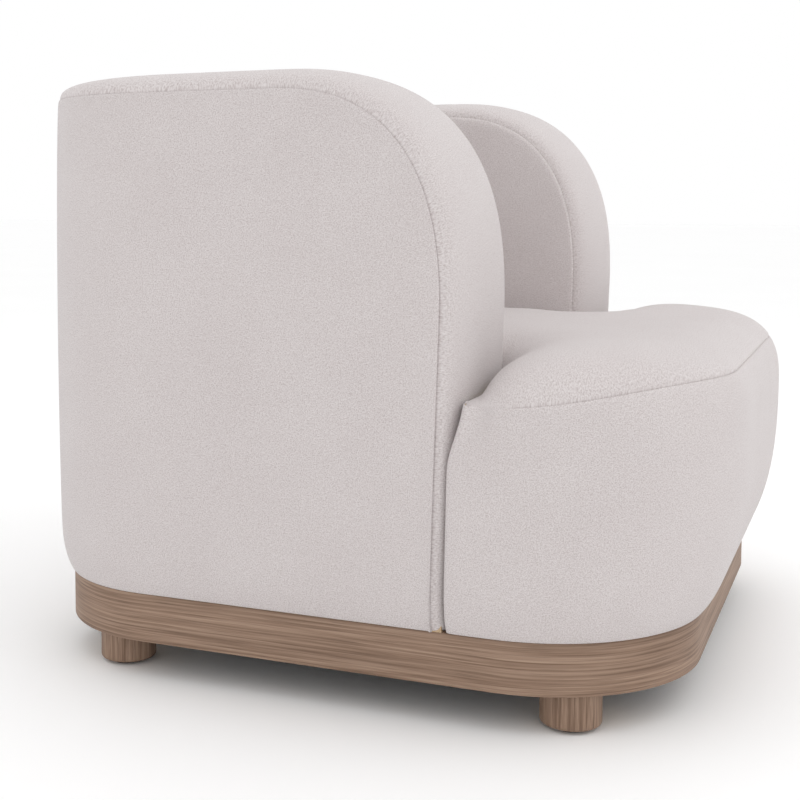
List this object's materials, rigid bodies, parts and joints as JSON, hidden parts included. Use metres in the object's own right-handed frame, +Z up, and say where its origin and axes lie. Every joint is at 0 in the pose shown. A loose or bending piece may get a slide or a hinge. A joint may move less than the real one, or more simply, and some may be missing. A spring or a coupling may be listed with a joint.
{
  "type": "upholstered lounge seat",
  "caption": "Single-seat upholstered lounge unit: U-shaped rounded arms and back, tight domed seat, bent oak plinth on short round wooden feet.",
  "frame": {"origin": "on the floor, under the centre of the whole body's box", "axes": "+Z up, front of the seat faces -Y, +X towards the side that is on the right when seen from the front"},
  "size_m": [0.898, 0.89, 0.765],
  "materials": {
    "plinth_oak": "light brown oak, matt lacquer, grain along the band",
    "foot_oak": "light brown oak, matt lacquer, upright grain",
    "frame_timber": "planed softwood",
    "plywood": "birch plywood, unfinished",
    "steel": "zinc plated",
    "felt": "pressed felt",
    "dust_cloth": "black non-woven cloth",
    "insulator_felt": "needled cotton felt",
    "webbing": "woven elastic webbing",
    "cover_fabric": "off-white chenille with a faint pink cast, short soft pile",
    "foam": "open-cell upholstery foam"
  },
  "bodies": {
    "root": {"plinth_front_rail": "plinth_oak", "plinth_back_rail": "plinth_oak", "plinth_left_rail": "plinth_oak", "plinth_right_rail": "plinth_oak", "plinth_corner_front_left": "plinth_oak", "plinth_corner_front_right": "plinth_oak", "plinth_corner_back_left": "plinth_oak", "plinth_corner_back_right": "plinth_oak", "glue_blocks": "frame_timber", "base_deck": "plywood", "dust_cover": "dust_cloth", "foot_front_left": "foot_oak", "foot_front_right": "foot_oak", "foot_back_left": "foot_oak", "foot_back_right": "foot_oak", "foot_bolts": "steel", "tee_nuts": "steel", "foot_glides": "felt", "seat_front_rail": "frame_timber", "seat_back_rail": "frame_timber", "seat_left_rail": "frame_timber", "seat_right_rail": "frame_timber", "seat_corner_left": "plywood", "seat_corner_right": "plywood", "seat_stretcher": "frame_timber", "seat_returns": "frame_timber", "seat_springs": "steel", "spring_clips": "steel", "spring_pad": "insulator_felt", "seat_foam": "foam", "seat_edge_foam": "foam", "seat_top_cover": "cover_fabric", "seat_boxing_cover": "cover_fabric", "left_arm_panels": "plywood", "right_arm_panels": "plywood", "left_arm_blocks": "frame_timber", "right_arm_blocks": "frame_timber", "back_posts": "frame_timber", "back_top_rail": "frame_timber", "back_bottom_rail": "frame_timber", "back_webbing": "webbing", "corner_ribs_left": "plywood", "corner_ribs_right": "plywood", "left_outer_board": "plywood", "right_outer_board": "plywood", "back_outer_board": "plywood", "left_arm_foam": "foam", "right_arm_foam": "foam", "back_foam": "foam", "left_outer_foam": "foam", "right_outer_foam": "foam", "back_outer_foam": "foam", "left_edge_foam": "foam", "right_edge_foam": "foam", "back_edge_foam": "foam", "outer_cover": "cover_fabric", "edge_cover": "cover_fabric", "inner_cover": "cover_fabric", "frame_screws": "steel"}
  },
  "joints": []
}
